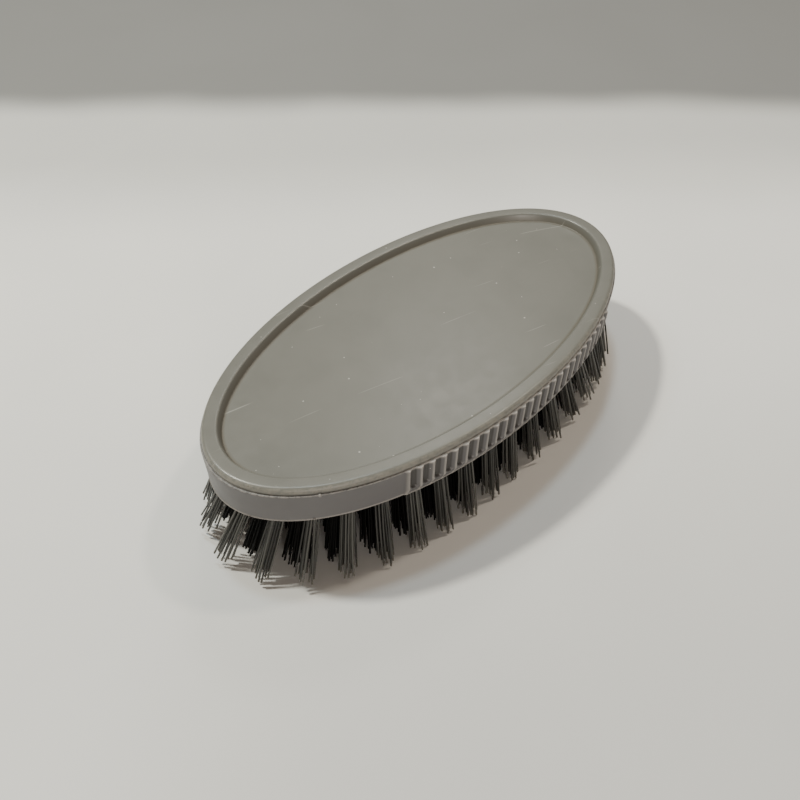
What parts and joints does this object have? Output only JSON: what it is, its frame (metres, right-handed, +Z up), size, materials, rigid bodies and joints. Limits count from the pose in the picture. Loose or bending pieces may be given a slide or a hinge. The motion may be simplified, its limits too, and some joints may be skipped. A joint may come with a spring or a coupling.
{
  "type": "scrub brush",
  "caption": "Oval hand scrub brush with a sunk top panel, ribbed grips along both long sides and rings of splayed bristle tufts underneath.",
  "frame": {"origin": "on the floor, under the middle of the brush as it stands on its bristles", "axes": "+X along the brush, +Y across it, +Z up through the cover"},
  "size_m": [0.1642, 0.0802, 0.035],
  "materials": {
    "cover_plastic": "satin moulded grey plastic, scuffed along the lip",
    "block_plastic": "satin moulded grey plastic",
    "grey_filament": "drawn grey filament",
    "black_filament": "drawn black filament"
  },
  "bodies": {
    "root": {"top_cover": "cover_plastic", "bristle_block": "block_plastic", "outer_tuft_01": "grey_filament", "outer_tuft_02": "grey_filament", "outer_tuft_03": "grey_filament", "outer_tuft_04": "grey_filament", "outer_tuft_05": "grey_filament", "outer_tuft_06": "grey_filament", "outer_tuft_07": "grey_filament", "outer_tuft_08": "grey_filament", "outer_tuft_09": "grey_filament", "outer_tuft_10": "grey_filament", "outer_tuft_11": "grey_filament", "outer_tuft_12": "grey_filament", "outer_tuft_13": "grey_filament", "outer_tuft_14": "grey_filament", "outer_tuft_15": "grey_filament", "outer_tuft_16": "grey_filament", "outer_tuft_17": "grey_filament", "outer_tuft_18": "grey_filament", "outer_tuft_19": "grey_filament", "outer_tuft_20": "grey_filament", "outer_tuft_21": "grey_filament", "outer_tuft_22": "grey_filament", "outer_tuft_23": "grey_filament", "outer_tuft_24": "grey_filament", "outer_tuft_25": "grey_filament", "outer_tuft_26": "grey_filament", "outer_tuft_27": "grey_filament", "outer_tuft_28": "grey_filament", "outer_tuft_29": "grey_filament", "outer_tuft_30": "grey_filament", "outer_tuft_31": "grey_filament", "outer_tuft_32": "grey_filament", "outer_tuft_33": "grey_filament", "outer_tuft_34": "grey_filament", "outer_tuft_35": "grey_filament", "outer_tuft_36": "grey_filament", "outer_tuft_37": "grey_filament", "outer_tuft_38": "grey_filament", "outer_tuft_39": "grey_filament", "outer_tuft_40": "grey_filament", "second_ring_01": "black_filament", "second_ring_02": "black_filament", "second_ring_03": "black_filament", "second_ring_04": "black_filament", "second_ring_05": "black_filament", "second_ring_06": "black_filament", "third_ring_01": "black_filament", "third_ring_02": "black_filament", "third_ring_03": "black_filament", "third_ring_04": "black_filament", "fourth_ring_01": "black_filament", "fourth_ring_02": "black_filament", "fourth_ring_03": "black_filament", "fourth_ring_04": "black_filament", "centre_row": "black_filament"}
  },
  "joints": []
}
